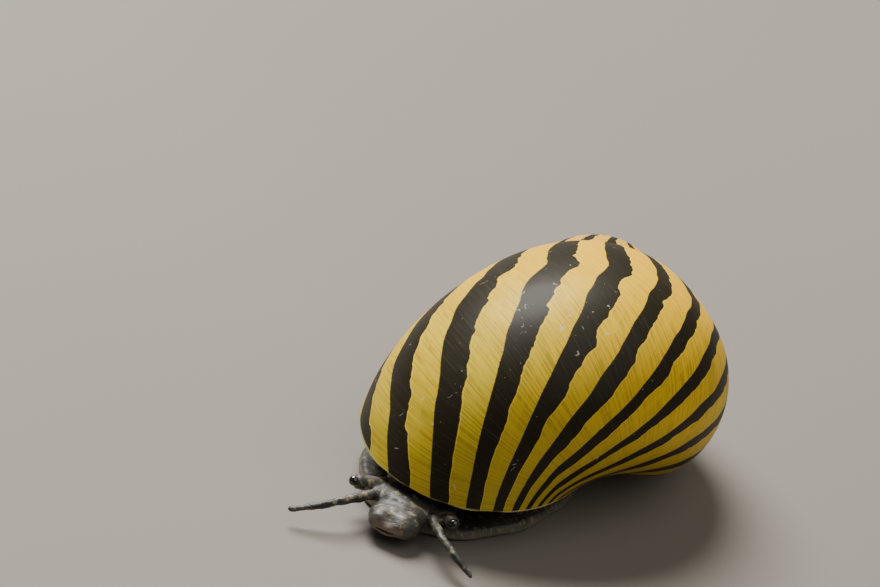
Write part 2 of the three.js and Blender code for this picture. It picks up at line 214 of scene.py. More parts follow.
hang_light("window", WINDOW_FROM, WINDOW_AWAY_MM, WINDOW_WIDTH_MM, WINDOW_POWER, WINDOW_COLOUR)
hang_light("side_fill", FILL_FROM, FILL_AWAY_MM, FILL_WIDTH_MM, FILL_POWER, FILL_COLOUR)
room = bpy.data.worlds.new("room")
room.use_nodes = True
room.node_tree.nodes["Background"].inputs["Color"].default_value = ROOM_COLOUR
room.node_tree.nodes["Background"].inputs["Strength"].default_value = ROOM_STRENGTH
bpy.context.scene.world = room


# The shell. It is lime and horn laid down at the lip by the living edge of the mantle: one
# widening tube that turns about the spire's axis, each whorl set on the one before. The same
# outline is turned and enlarged step by step, and the mouth is then cut flat over the floor.
RADIAL_GROWTH = 2.208
AXIAL_GROWTH = 2.675
TUBE_CENTRE = (3.89, -13.56)
TUBE_RADIUS = 8.72
TUBE_OVAL = (-0.196, -0.157)
TUBE_CORNERS = (0.056, 0.052)
AXIS_GAP = 0.02
CROSSING_HALVINGS = 40
MOUTH_TURN = 0.19
MOUTH_END_WALL_TURNS = 0.01
MIDDLE_TURN = -0.42
HIDDEN_TURN = -0.85
SPIRE_STEP_TURNS = 0.8
SPIRE_WHORLS = 4
WHORL_SIDES, WHORL_STEPS_PER_TURN = 100, 130
SPIRE_SIDES, SPIRE_STEPS_PER_TURN = 64, 70
ROOM_SIDES, ROOM_STEPS_PER_TURN = 72, 56
AXIS_ELEVATION = math.radians(23.8)
AXIS_HEADING = math.radians(113.8)
AXIS_SPIN = math.radians(107.5)
PILLAR_BASE_RADIUS, PILLAR_TIP_RADIUS = 1.1, 0.25
PILLAR_LENGTH, PILLAR_MIDDLE = 18.2, -10.3
PILLAR_SIDES = 24
PILLAR_CLEARANCE = 0.3
LIP_HEIGHT = 2.8
VENTRAL_HEIGHT = 1.55
MOUTH_DEPTH = 3.6
WALL = 0.8
LIP_WALL = 0.3
LIP_FLARE_DEPTH = 0.9
LIP_WAVER = 0.16
LIP_WAVES_PER_MM = 0.55
LIP_CUTTER, LIP_CUTTER_CELLS = 24.0, 90
LIP_END = Vector((7.4, -0.55))
LIP_END_RISE = 0.28
LIP_END_WIDTH = 0.9
DECK_LINE_AWAY = 5.05
DECK_LINE_ANGLE = math.radians(-56)
FAR = 60.0
CUT_MARK = 9.0
SHELL_SHARP_ANGLE = math.radians(34)

shell_place = (
    Matrix.Translation(APEX)
    @ Matrix.Rotation(AXIS_HEADING, 4, "Z")
    @ Matrix.Rotation(math.pi / 2 - AXIS_ELEVATION, 4, "Y")
    @ Matrix.Rotation(AXIS_SPIN, 4, "Z")
)


def tube_outline(angle, wall=0.0):
    """A point of the tube's outline, less a wall: how far out from the axis, and how far up it."""
    oval = TUBE_OVAL[0] * math.cos(2 * angle) + TUBE_OVAL[1] * math.sin(2 * angle)
    corners = TUBE_CORNERS[0] * math.cos(3 * angle) + TUBE_CORNERS[1] * math.sin(3 * angle)
    radius = TUBE_RADIUS * (1 + oval + corners) - wall
    return TUBE_CENTRE[0] + radius * math.cos(angle), TUBE_CENTRE[1] + radius * math.sin(angle)


def axis_crossing(outside, inside):
    """The angle at which the outline meets the axis, found by halving the range many times."""
    for _ in range(CROSSING_HALVINGS):
        middle = (outside + inside) / 2
        if tube_outline(middle)[0] > 0:
            outside = middle
        else:
            inside = middle
    return outside


TOP_CROSSING = axis_crossing(math.pi / 2, math.pi)
BASE_CROSSING = axis_crossing(-math.pi / 2, -math.pi)


def growth(turns):
    larger = Matrix.Diagonal((RADIAL_GROWTH**turns, RADIAL_GROWTH**turns, AXIAL_GROWTH**turns, 1))
    return Matrix.Rotation(-2 * math.pi * turns, 4, "Z") @ larger


def start_form():
    """An empty form, with a place on each corner for the turn and the angle at which it grew."""
    form = bmesh.new()
    turn_layer = form.verts.layers.float.new("turn")
    angle_layer = form.verts.layers.float.new("angle")
    return form, turn_layer, angle_layer


def mark_faces(form, turn_layer, angle_layer):
    """Each face keeps the turn and the angle of its corners, for the stripes to follow."""
    marks = form.loops.layers.uv.new("growth")
    for face in form.faces:
        for corner in face.loops:
            corner[marks].uv = (corner.vert[turn_layer], corner.vert[angle_layer])


def grow_tube(first, last, inner=False, wall=0.0, sides=WHORL_SIDES,
              steps_per_turn=WHORL_STEPS_PER_TURN):
    """One stretch of the tube, on the outer or the inner side of the axis, as a closed form."""
    form, turn_layer, angle_layer = start_form()
    bmesh.ops.create_circle(form, cap_ends=True, segments=sides, radius=1.0)
    start, end, side = TOP_CROSSING, BASE_CROSSING, 1
    if inner:
        start, end, side = BASE_CROSSING, TOP_CROSSING - 2 * math.pi, -1
    form.verts.ensure_lookup_table()
    for place, spot in enumerate(form.verts):
        angle = start + (end - start) * place / (sides - 1)
        out, up = tube_outline(angle, wall)
        spot.co = (side * max(side * out, AXIS_GAP), 0.0, up)
        spot[turn_layer] = first
        spot[angle_layer] = angle
    bmesh.ops.transform(form, matrix=growth(first), verts=form.verts)
    steps = max(2, round((last - first) * steps_per_turn))
    turned = growth((last - first) / steps)
    cap = next(iter(form.faces))
    for step in range(steps):
        grown = bmesh.ops.extrude_face_region(form, geom=[cap])["geom"]
        if step > 0:
            bmesh.ops.delete(form, geom=[cap], context="FACES_ONLY")
        cap = next(g for g in grown if isinstance(g, bmesh.types.BMFace))
        bmesh.ops.transform(form, matrix=turned, verts=cap.verts)
        for spot in cap.verts:
            spot[turn_layer] += (last - first) / steps
    bmesh.ops.recalc_face_normals(form, faces=form.faces)
    bmesh.ops.transform(form, matrix=shell_place, verts=form.verts)
    mark_faces(form, turn_layer, angle_layer)
    return form


def make_pillar(extra=0.0):
    """The columella: the pillar of shell that the whorls leave along the axis."""
    form, turn_layer, angle_layer = start_form()
    bmesh.ops.create_cone(form, cap_ends=True, segments=PILLAR_SIDES,
                          radius1=PILLAR_BASE_RADIUS + extra, radius2=PILLAR_TIP_RADIUS + extra,
                          depth=PILLAR_LENGTH, matrix=Matrix.Translation((0, 0, PILLAR_MIDDLE)))
    bmesh.ops.transform(form, matrix=shell_place, verts=form.verts)
    for spot in form.verts:
        spot[angle_layer] = BASE_CROSSING
    mark_faces(form, turn_layer, angle_layer)
    return form


def make_block(low, high, turned=0.0):
    """A plain block for cutting, whose faces carry a mark that the finish shows as callus."""
    form, turn_layer, angle_layer = start_form()
    bmesh.ops.create_cube(form, size=1.0)
    bmesh.ops.scale(form, vec=Vector(high) - Vector(low), verts=form.verts)
    bmesh.ops.translate(form, vec=(Vector(high) + Vector(low)) / 2, verts=form.verts)
    bmesh.ops.rotate(form, matrix=Matrix.Rotation(turned, 3, "Z"), verts=form.verts)
    for spot in form.verts:
        spot[angle_layer] = CUT_MARK
    mark_faces(form, turn_layer, angle_layer)
    return form


def below_lip():
    """Everything under the lip, whose edge is never quite level: it wavers as the shell grew."""
    form, turn_layer, angle_layer = start_form()
    bmesh.ops.create_grid(form, x_segments=LIP_CUTTER_CELLS, y_segments=LIP_CUTTER_CELLS,
                          size=LIP_CUTTER)
    grown = bmesh.ops.extrude_face_region(form, geom=form.faces[:])["geom"]
    underside = [g for g in grown if isinstance(g, bmesh.types.BMVert)]
    bmesh.ops.translate(form, vec=(0, 0, -FAR), verts=underside)
    for spot in form.verts:
        if spot.co.z > -FAR / 2:
            waver = LIP_WAVER * noise.noise(spot.co * LIP_WAVES_PER_MM)
            near_end = math.exp(-((spot.co.xy - LIP_END).length / LIP_END_WIDTH) ** 2)
            spot.co.z = LIP_HEIGHT + waver + LIP_END_RISE * near_end
        spot[angle_layer] = CUT_MARK
    bmesh.ops.recalc_face_normals(form, faces=form.faces)
    mark_faces(form, turn_layer, angle_layer)
    return form


def carve(form, changes):
    """Joins forms to a form, cuts them from it, or keeps what they share, and frees them all."""
    def as_object(piece):
        mesh = bpy.data.meshes.new("carving")
        piece.to_mesh(mesh)
        piece.free()
        thing = bpy.data.objects.new("carving", mesh)
        bpy.context.scene.collection.objects.link(thing)
        return thing

    base = as_object(form)
    tools = []
    for operation, tool in changes:
        tools.append(as_object(tool))
        change = base.modifiers.new("change", "BOOLEAN")
        change.operation = operation
        change.solver = "MANIFOLD"
        change.object = tools[-1]
    evaluated = base.evaluated_get(bpy.context.evaluated_depsgraph_get())
    done = bmesh.new()
    done.from_mesh(evaluated.to_mesh())
    for thing in (base, *tools):
        bpy.data.meshes.remove(thing.data)
    return done


def mouth_room(wall, low, high, back):
    """The hollow of the mouth inside a wall, between two levels, up to the deck's line."""
    end = MOUTH_TURN - MOUTH_END_WALL_TURNS
    fineness = {"sides": ROOM_SIDES, "steps_per_turn": ROOM_STEPS_PER_TURN}
    edge = DECK_LINE_AWAY + back
    room = carve(grow_tube(MIDDLE_TURN, end, wall=wall, **fineness), [
        ("UNION", grow_tube(MIDDLE_TURN, end, inner=True, wall=wall, **fineness)),
        ("UNION", make_pillar(PILLAR_CLEARANCE)),
        ("INTERSECT", make_block((-FAR, edge - FAR, low), (FAR, edge, high), DECK_LINE_ANGLE)),
    ])
    marks = room.loops.layers.uv["growth"]
    for face in room.faces:
        for corner in face.loops:
            corner[marks].uv = (0.0, CUT_MARK)
    return room


def grow_shell():
    newer = carve(grow_tube(MIDDLE_TURN, MOUTH_TURN), [
        ("UNION", grow_tube(MIDDLE_TURN, MOUTH_TURN, inner=True)),
        ("UNION", make_pillar()),
        ("DIFFERENCE", below_lip()),
    ])
    below_older = make_block((-FAR, -FAR, -FAR), (FAR, FAR, VENTRAL_HEIGHT))
    older = carve(grow_tube(HIDDEN_TURN, MIDDLE_TURN), [("DIFFERENCE", below_older)])
    changes = [("UNION", older)]
    for whorl in range(SPIRE_WHORLS):
        last = HIDDEN_TURN - whorl * SPIRE_STEP_TURNS
        changes.append(("UNION", grow_tube(last - SPIRE_STEP_TURNS, last, sides=SPIRE_SIDES,
                                           steps_per_turn=SPIRE_STEPS_PER_TURN)))
    for wall, depth in ((WALL, MOUTH_DEPTH), (LIP_WALL, LIP_FLARE_DEPTH)):
        changes.append(("DIFFERENCE", mouth_room(wall, -FAR, LIP_HEIGHT + depth, 0.0)))
    return carve(newer, changes)


def drop_crumbs(form):
    """Carving can leave crumbs beside a piece: only its largest connected part stays."""
    left = set(form.verts)
    largest = set()
    while left:
        queue = [left.pop()]
        island = set(queue)
        while queue:
            for edge in queue.pop().link_edges:
                for spot in edge.verts:
                    if spot not in island:
                        island.add(spot)
                        queue.append(spot)
        left -= island
        largest = max(largest, island, key=len)
    bmesh.ops.delete(form, geom=[v for v in form.verts if v not in largest], context="VERTS")


def settle(name, form, finish, slot, *nodes):
    """Brings a form to metres, gives it its finish and sets it in place of the solids it shows."""
    drop_crumbs(form)
    bmesh.ops.scale(form, vec=(METRES_PER_MM,) * 3, verts=form.verts)
    mesh = bpy.data.meshes.new(name)
    form.to_mesh(mesh)
    form.free()
    mesh.shade_smooth()
    mesh.materials.append(finish)
    piece = bpy.data.objects.new(name, mesh)
    bpy.context.scene.collection.objects.link(piece)
    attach(piece, "root")
    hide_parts(*nodes)
    return piece


# The shell's bands. They cross it from the suture to the base, set down as the lip moved on: each
# is smooth on its newer side, and ragged with a pale thread where it began. Places are in turns
# along the whorl and degrees across it, and widths are in shares of the step from band to band.
FIRST_BAND_TURN = 0.0105
BANDS_PER_TURN = 21.1
BANDS_SPREAD, BANDS_SPREAD_TURNS = 4.5, 0.55
BAND_BUNCHING, BUNCHES_PER_TURN, BUNCHES_FROM = 0.29, 12.8, 1.4
BAND_HALF_WIDTH, NEWER_BAND_WIDENING = 0.19, 0.05
NEWER_BAND_TURNS = (-0.26, -0.20)
OLDER_SWEEP_TURNS = (-0.43, 0.0)
OLDER_SWEEP, SWEEP, SWEEP_DEGREES = 0.0008, 0.0001, 5.0
BASE_SWEEP, BASE_SWEEP_DEGREES, BASE_SWEEP_FOLD_DEGREES = 0.006, -29.0, 18.0
BASE_SWEEP_FOLDS_MOST = 5.0
LEAN_PER_TURN, LEAN, LEAN_LEAST = 3.6, 1.65, 0.34
SHOULDER_SWEEP, SHOULDER_SWEEP_DEGREES = 0.0006, 32.0
BAND_WANDER_TURNS = 0.012
WANDER_GRAIN = (7.0, 2.6, 1.0)
SWELL_GRAIN, SWELL_WIDTH = (12.0, 3.6, 1.0), 0.30
SCALLOP_GRAIN, SCALLOP_WIDTH = (16.0, 11.0, 1.0), 0.12
TOOTH_GRAIN, TOOTH_WIDTH, SMOOTH_TOOTH_WIDTH = (10.0, 46.0, 1.0), 0.03, 0.025
THREAD_OUTER, THREAD_INNER = (-0.030, -0.018), (-0.012, 0.0)
GROWTH_LINES_PER_TURN, GROWTH_LINE_BREAKS_PER_RADIAN = 300.0, 2.0
LIP_CURVE_PER_DEGREE, LIP_HOOK, LIP_HOOK_DEGREES = 0.0013, 0.05, 80.0
FINE_LINE_GRAIN, PAUSE_GRAIN = (1.7, 1.3, 1.0), (0.10, 0.3, 1.0)


def unevenness(marks, grain, detail=1.0, roughness=0.5):
    return marks.stretched(grain).grain(1.0, detail, roughness) - 0.5


def lay_bands(marks, turn, degrees):
    """How far a spot is inside its band, from the band's ragged edge and from its smooth edge."""
    older = 1.0 - turn.step(*OLDER_SWEEP_TURNS)
    folds = (BASE_SWEEP_DEGREES - degrees) / BASE_SWEEP_FOLD_DEGREES
    near_base = folds.math("MINIMUM", BASE_SWEEP_FOLDS_MOST).math("EXPONENT") - 1.0
    lean = (turn * LEAN_PER_TURN + LEAN).math("MAXIMUM", LEAN_LEAST).math("MINIMUM", 1.0)
    sweep = (older * OLDER_SWEEP + SWEEP) * (SWEEP_DEGREES - degrees)
    sweep = sweep + near_base.math("MAXIMUM", 0.0) * lean * BASE_SWEEP
    sweep = sweep + (degrees - SHOULDER_SWEEP_DEGREES).math("MAXIMUM", 0.0) * SHOULDER_SWEEP
    wander = unevenness(marks, WANDER_GRAIN) * BAND_WANDER_TURNS
    age = FIRST_BAND_TURN - turn + sweep + wander
    even = age * (BANDS_PER_TURN - age.math("MINIMUM", BANDS_SPREAD_TURNS) * BANDS_SPREAD)
    count = even - (age * BUNCHES_PER_TURN - BUNCHES_FROM).math("SINE") * BAND_BUNCHING
    offset = count - count.math("ROUND")
    half_width = turn.step(*NEWER_BAND_TURNS) * NEWER_BAND_WIDENING + BAND_HALF_WIDTH
    swell = unevenness(marks, SWELL_GRAIN) * SWELL_WIDTH
    scallops = unevenness(marks, SCALLOP_GRAIN) * SCALLOP_WIDTH
    teeth = unevenness(marks, TOOTH_GRAIN, 3.0, 0.6)
    ragged_edge = half_width - offset + swell + scallops + teeth * TOOTH_WIDTH
    smooth_edge = half_width + offset + teeth * SMOOTH_TOOTH_WIDTH
    return ragged_edge, smooth_edge


def lay_growth_lines(marks, turn, angle, degrees):
    """Lines that run along the lip and curve with it: fine ones, finer ones, and broad pauses."""
    hook = (degrees / LIP_HOOK_DEGREES).math("POWER", 5.0) * LIP_HOOK
    along = (turn - (degrees * LIP_CURVE_PER_DEGREE + hook)) * GROWTH_LINES_PER_TURN
    across = angle * GROWTH_LINE_BREAKS_PER_RADIAN
    lines_at = marks.node("CombineXYZ", {}, {0: along, 1: across})
    lines = lines_at.grain(1.0, 4.0, 0.65)
    fine_lines = lines_at.stretched(FINE_LINE_GRAIN).grain(1.0, 3.0, 0.6)
    pauses = lines_at.stretched(PAUSE_GRAIN).grain(1.0, 2.0)
    return lines, fine_lines, pauses


def relief(shader, height, distance, strength=1.0):
    feed(shader, "Normal", height.node("Bump", {}, {0: strength, 1: distance, 3: height}))


# The shell's colours. The horn is lemon and yellow, with olive laid on as painted shade towards the
# base and the lip, orange near the suture, brown growth lines and black bands. The apex is worn to
# chalk, white scuffs are partly wear and partly painted glints where the gleam falls, and the mouth
# is cream callus.
SHELL_LEMON = (0.80, 0.620, 0.040)
SHELL_YELLOW = (0.92, 0.590, 0.012)
SHELL_GOLD = (0.76, 0.450, 0.004)
SHELL_OLIVE = (0.52, 0.395, 0.014)
# The olive below is painted shade, laid on the base of the shell.
BASE_SHADE_OLIVE = (0.36, 0.285, 0.035)
GROWTH_BROWN = (0.35, 0.235, 0.012)
SHELL_CREAM = (0.76, 0.58, 0.17)
SHELL_ORANGE = (0.90, 0.48, 0.003)
SPIRE_ORANGE = (0.70, 0.39, 0.05)
THREAD_TAN = (0.92, 0.64, 0.08)
BAND_BLACK = (0.019, 0.015, 0.007)
BAND_BROWN = (0.040, 0.030, 0.016)
SCRATCH_GREY = (0.14, 0.13, 0.11)
# The white below paints scuff wear and painted glints together.
SCUFF_AND_GLINT_WHITE = (0.70, 0.68, 0.60)
RIM_PALE = (0.62, 0.53, 0.20)
CALLUS = (0.58, 0.53, 0.40)
CHALK = (0.50, 0.42, 0.31)
LEMON_TURNS = (-0.26, -0.03)
# The turns below darken the newest whorl by the lip with painted shade.
LIP_SHADE_TURNS = (-0.04, 0.03)
SPIRE_TURNS = (-1.25, -0.80)
RIM_TURNS = (-0.42, -0.40)
BASE_SHADE_DEGREES = (-95.0, -30.0)
ORANGE_DEGREES = (-45.0, 70.0)
SUTURE_DEGREES, SUTURE_END_DEGREES = (82.4, 83.6), (100.0, 110.0)
CALLUS_DEGREES = (200.0, 300.0)
RIM_WIDTH = (0.04, 0.13)
WORN_REACH, WORN_RAGGEDNESS = (1.9, 2.7), 2.4
# The spot and reach below gather the white scuffs where the gleam falls: painted glints as well as
# wear.
GLINT_AND_RUB_SPOT, GLINT_AND_RUB_REACH = Vector((3.2, 0.0, 12.6)), (1.0, 4.5)
CLOUDS_PER_M = 260.0
CHIPS_PER_M = 6500.0
SCUFF_STROKES_PER_M, SCUFFS_PER_M = 760.0, 1300.0
SHELL_SPECULAR = 0.15
SHELL_COAT, SHELL_COAT_ROUGHNESS = 0.04, 0.20
GROWTH_LINE_DEPTH_M = 0.00003


def paint_shell():
    material, shader, place = new_finish("shell_striped")
    marks = place.node("UVMap", {"uv_map": "growth"}, {})
    turn, angle = marks.part(0), marks.part(1)
    degrees = angle * math.degrees(1)
    height = place.part(2) / METRES_PER_MM
    ragged_edge, smooth_edge = lay_bands(marks, turn, degrees)
    dark = ragged_edge.step(-0.008, 0.008) * smooth_edge.step(-0.010, 0.010)
    thread = ragged_edge.step(*THREAD_OUTER) * (1.0 - ragged_edge.step(*THREAD_INNER))
    near_ragged = 1.0 - (ragged_edge * -1.0).step(0.05, 0.45)
    lines, fine_lines, pauses = lay_growth_lines(marks, turn, angle, degrees)
    clouds = place.grain(CLOUDS_PER_M, 3.0)

    yellow = (turn + clouds * 0.2 - 0.1).step(*LEMON_TURNS).tint(SHELL_YELLOW, SHELL_LEMON)
    yellow = (clouds.step(0.4, 0.7) * 0.5).tint(yellow, SHELL_GOLD)
    yellow = (pauses.step(0.48, 0.75) * 0.6).tint(yellow, SHELL_OLIVE)
    # Painted shade: the yellow darkens to olive towards the base, low on the shell where shade
    # falls.
    yellow = ((1.0 - degrees.step(*BASE_SHADE_DEGREES)) * 0.75).tint(yellow, BASE_SHADE_OLIVE)
    # Painted shade: the newest stretch of the whorl, by the lip, is darkened towards olive where
    # that edge of the shell lies in shade.
    yellow = (turn.step(*LIP_SHADE_TURNS) * 0.55).tint(yellow, SHELL_OLIVE)
    browned = fine_lines.step(0.42, 0.66) * (near_ragged * 0.55 + 0.15)
    yellow = browned.tint(yellow, GROWTH_BROWN)
    yellow = (lines.step(0.60, 0.80) * 0.15).tint(yellow, SHELL_CREAM)
    yellow = (degrees.step(*ORANGE_DEGREES) * 0.75).tint(yellow, SHELL_ORANGE)
    yellow = (1.0 - turn.step(*SPIRE_TURNS)).tint(yellow, SPIRE_ORANGE)
    yellow = (thread * 0.8).tint(yellow, THREAD_TAN)
    black = (lines.step(0.5, 0.8) * 0.6).tint(BAND_BLACK, BAND_BROWN)
    black = (fine_lines.step(0.52, 0.74) * 0.15).tint(black, SCRATCH_GREY)
    colour = dark.tint(yellow, black)

    # The thread along the suture, the pale rim of the lip, what wear has done, and white scuffs
    # that are also painted glints.
    suture = degrees.step(*SUTURE_DEGREES) * (1.0 - degrees.step(*SUTURE_END_DEGREES))
    colour = (suture * 0.8).tint(colour, THREAD_TAN)
    rim = (1.0 - (height - LIP_HEIGHT).step(*RIM_WIDTH)) * turn.step(*RIM_TURNS)
    colour = (rim * 0.75).tint(colour, RIM_PALE)
    from_apex = place.away_from(APEX * METRES_PER_MM) / METRES_PER_MM
    worn = 1.0 - (from_apex + clouds * WORN_RAGGEDNESS).step(*WORN_REACH)
    colour = (worn * 0.85).tint(colour, CHALK)
    chips = place.grain(CHIPS_PER_M, 1.0).step(0.775, 0.80)
    colour = (chips * 0.6).tint(colour, SHELL_CREAM)
    # Painted glints as well as wear: white scuff marks, thickest on the shoulder where the window's
    # gleam falls, stand partly for scratches and partly for the glints they throw.
    from_glint_and_rub = place.away_from(GLINT_AND_RUB_SPOT * METRES_PER_MM) / METRES_PER_MM
    glint_and_rub = 1.0 - from_glint_and_rub.step(*GLINT_AND_RUB_REACH)
    strokes = (place.grain(SCUFF_STROKES_PER_M, 2.0) - 0.5).math("ABSOLUTE").step(0.003, 0.010)
    scuffs_and_glints = (place.grain(SCUFFS_PER_M, 1.0) + glint_and_rub * 0.15).step(0.70, 0.74)
    colour = ((1.0 - strokes) * scuffs_and_glints * 0.5).tint(colour, SCUFF_AND_GLINT_WHITE)
    colour = degrees.step(*CALLUS_DEGREES).tint(colour, CALLUS)

    feed(shader, "Base Color", colour)
    feed(shader, "Roughness", clouds * 0.10 + 0.40 + fine_lines * 0.10 + worn * 0.3)
    shader.inputs["Specular IOR Level"].default_value = SHELL_SPECULAR
    shader.inputs["Coat Weight"].default_value = SHELL_COAT
    shader.inputs["Coat Roughness"].default_value = SHELL_COAT_ROUGHNESS
    ridges = lines * 0.7 + fine_lines * 0.3 + pauses * 2.0 + worn * clouds * 3.0
    relief(shader, ridges, GROWTH_LINE_DEPTH_M, 0.6)
    return material


shell = settle("shell", grow_shell(), paint_shell(), "shell_striped",
               "shell_body_whorl", "shell_spire", "shell_apex")
shell.data.set_sharp_from_angle(angle=SHELL_SHARP_ANGLE)


# The deck. A flat shelf of shell grows across the back of the mouth from the columella, and small
# blunt teeth notch its free edge. It is part of the shell's wall, smooth and cream-white.
DECK_WIDTH = 2.6
DECK_LOW, DECK_HIGH = 2.9, 3.6
DECK_BACK_GAP, DECK_WALL_GAP = 0.1, 0.05
DECK_TEETH = 7
DECK_TOOTH = 0.32
DECK_TOOTH_STEP = 0.8
DECK_TEETH_MIDDLE = -2.4
DECK_CREAM = (0.66, 0.60, 0.47)
DECK_BUFF = (0.55, 0.45, 0.28)
DECK_SHARP_ANGLE = math.radians(45)
SHELF_CLOUDS_PER_M = 420.0
SHELF_RING_GRAIN = (300.0, 1400.0, 900.0)
SHELF_COAT = 0.25
SHELF_RING_DEPTH_M = 0.00002


def ball(centre, radii, sides=40, rings=20):
    form = bmesh.new()
    bmesh.ops.create_uvsphere(form, u_segments=sides, v_segments=rings, radius=1.0)
    bmesh.ops.scale(form, vec=radii, verts=form.verts)
    bmesh.ops.translate(form, vec=centre, verts=form.verts)
    return form


def make_deck():
    near = DECK_LINE_AWAY - DECK_WIDTH
    back = DECK_LINE_AWAY - DECK_BACK_GAP
    plate = make_block((-FAR, near, DECK_LOW), (FAR, back, DECK_HIGH), DECK_LINE_ANGLE)
    tooth_size = (DECK_TOOTH, 0.9 * DECK_TOOTH, 0.5 * (DECK_HIGH - DECK_LOW))
    changes = []
    for tooth in range(DECK_TEETH):
        along = DECK_TEETH_MIDDLE + (tooth - (DECK_TEETH - 1) / 2) * DECK_TOOTH_STEP
        knob = ball((along, near, (DECK_LOW + DECK_HIGH) / 2), tooth_size, 20, 12)
        bmesh.ops.rotate(knob, matrix=Matrix.Rotation(DECK_LINE_ANGLE, 3, "Z"), verts=knob.verts)
        changes.append(("UNION", knob))
    changes.append(("INTERSECT", mouth_room(WALL + DECK_WALL_GAP, -FAR, FAR, 0.0)))
    return carve(plate, changes)


def paint_shelf(name, pale, warm):
    material, shader, place = new_finish(name)
    clouds = place.grain(SHELF_CLOUDS_PER_M, 3.0)
    rings = place.stretched(SHELF_RING_GRAIN).grain(1.0, 3.0)
    mottle = (clouds * 0.5 + rings * 0.5).step(0.35, 0.65)
    feed(shader, "Base Color", mottle.tint(pale, warm))
    feed(shader, "Roughness", clouds * 0.15 + 0.25)
    shader.inputs["Coat Weight"].default_value = SHELF_COAT
    relief(shader, rings, SHELF_RING_DEPTH_M, 0.5)
    return material


deck = settle("columellar_shelf", make_deck(), paint_shelf("deck_cream", DECK_CREAM, DECK_BUFF),
              "shell_inner", "columellar_deck")
deck.data.set_sharp_from_angle(angle=DECK_SHARP_ANGLE)


# The soft animal. Foot, head, snout, tentacles and mantle are one wet skin over muscle, grey-black
# with ochre flecks. The sole is pale and flat. The mantle lines the mouth of the shell to its rim.
FOOT_FRONT, FOOT_REAR = 8.4, 9.2
FOOT_HALF_WIDTH = 5.8
FOOT_HEIGHT, FOOT_EDGE, FOOT_EDGE_LIFT = 0.9, 0.55, 0.12
FOOT_SOLE_REACH, FOOT_MARGIN = 0.86, 0.14
FOOT_REAR_TAPER = 0.12
FOOT_FRILLS, FOOT_FRILL = 11, 0.015
STALK = ((-0.3, -2.2, 2.4), (3.6, 2.7, 2.4))
NECK = ((0.0, -5.4, 1.75), (2.6, 2.2, 1.0))
HEAD = ((0.0, -7.2, 1.55), (2.2, 2.4, 0.93))
SNOUT = ((0.0, -9.1, 1.25), (1.45, 1.4, 0.80))
SNOUT_LOBES = tuple(((side * 0.66, -9.55, 1.22), (0.92, 1.2, 0.74)) for side in (-1, 1))
LIPS = (((0.0, -10.42, 1.14), (0.86, 0.34, 0.20)), ((0.0, -10.36, 0.78), (0.74, 0.32, 0.18)))
MOUTH_SLIT = ((0.0, -10.7, 0.96), (0.62, 0.42, 0.075))
MANTLE_GAP, MANTLE_BACK = 0.08, -0.15
MANTLE_LOW, MANTLE_HIGH = LIP_HEIGHT + 0.3, LIP_HEIGHT + MOUTH_DEPTH - 0.6
LEFT_TENTACLE = (
    (1.3, -7.4, 1.6), (2.1, -9.0, 1.75), (3.2, -10.1, 1.7), (4.6, -10.8, 1.3), (5.9, -11.1, 0.7),
)
RIGHT_TENTACLE = (
    (-1.3, -7.4, 1.6), (-2.0, -9.1, 1.75), (-2.8, -10.5, 1.7), (-4.0, -11.7, 1.3),
    (-5.3, -12.5, 0.9),
)
TENTACLE_ROOT, TENTACLE_TIP, TENTACLE_STEPS = 0.37, 0.17, 48
EYE_STALK_ROUTE = ((1.6, -7.1, 1.6), (2.4, -8.0, 1.8), (3.2, -8.82, 2.0))
EYE_STALK_ROOT, EYE_STALK_TIP, EYE_STALK_STEPS = 0.50, 0.42, 16
FEELER_SIDES = 14
DOME_FROM, DOME_LENGTH, DOME_END = 0.96, 0.04, 0.02
SKIN_GRAIN = 0.11
SKIN_RELAXINGS = 4
SOLE_LEFT_FLAT = 0.3
FOLD_HEIGHT, FOLDS_PER_MM, FOLD_BEND = 0.035, 1.1, 0.6
FOLDS_FROM, FOLDS_FADE = -4.5, 1.5
SKIN_SLATE = (0.022, 0.021, 0.019)
SKIN_GREY = (0.075, 0.068, 0.052)
SKIN_OCHRE = (0.30, 0.25, 0.13)
SKIN_MARGIN = (0.22, 0.20, 0.15)
SOLE_PALE = (0.34, 0.31, 0.24)
LIP_PINK = (0.26, 0.19, 0.14)
PATCHES_PER_M, SPECKS_PER_M, FLECKS_PER_M, WRINKLES_PER_M = 650.0, 5200.0, 2300.0, 2600.0
MARGIN_HEIGHT, MARGIN_FRONT = (0.25, 0.75), (-9.2, -8.6)
SOLE_HEIGHT = (0.05, 0.16)
LIPS_FRONT, LIPS_WIDTH, LIPS_HEIGHT = (-10.45, -10.1), (0.7, 1.2), (1.3, 1.6)
SKIN_COAT, SKIN_COAT_ROUGHNESS = 0.15, 0.22
SKIN_DEPTH, SKIN_DEPTH_RADIUS = 0.12, (0.0006, 0.0004, 0.0003)
WRINKLE_DEPTH_M = 0.00009


def make_foot():
    """A low dome on a flat sole, whose margin lifts from the floor and waves like a frill."""
    form = ball((0, 0, 0), (1, 1, 1), 72, 36)
    for spot in form.verts:
        x, y, z = spot.co
        reach = math.hypot(x, y)
        if z > 1e-6:
            lift = FOOT_EDGE_LIFT
            dome = FOOT_EDGE + (FOOT_HEIGHT - FOOT_EDGE) * (1 - reach**3)
            thick = dome * min(1.0, 4 * z)
        else:
            lift = FOOT_EDGE_LIFT * min(1.0, max(0.0, (reach - FOOT_SOLE_REACH) / FOOT_MARGIN))
            thick = 0.0
        frill = 1 + FOOT_FRILL * math.sin(FOOT_FRILLS * math.atan2(y, x)) * reach
        width = FOOT_HALF_WIDTH * (1 - FOOT_REAR_TAPER * max(y, 0.0) ** 2) * frill
        length = FOOT_FRONT if y < 0 else FOOT_REAR
        spot.co = (x * width, y * length * frill, lift + thick)
    return form


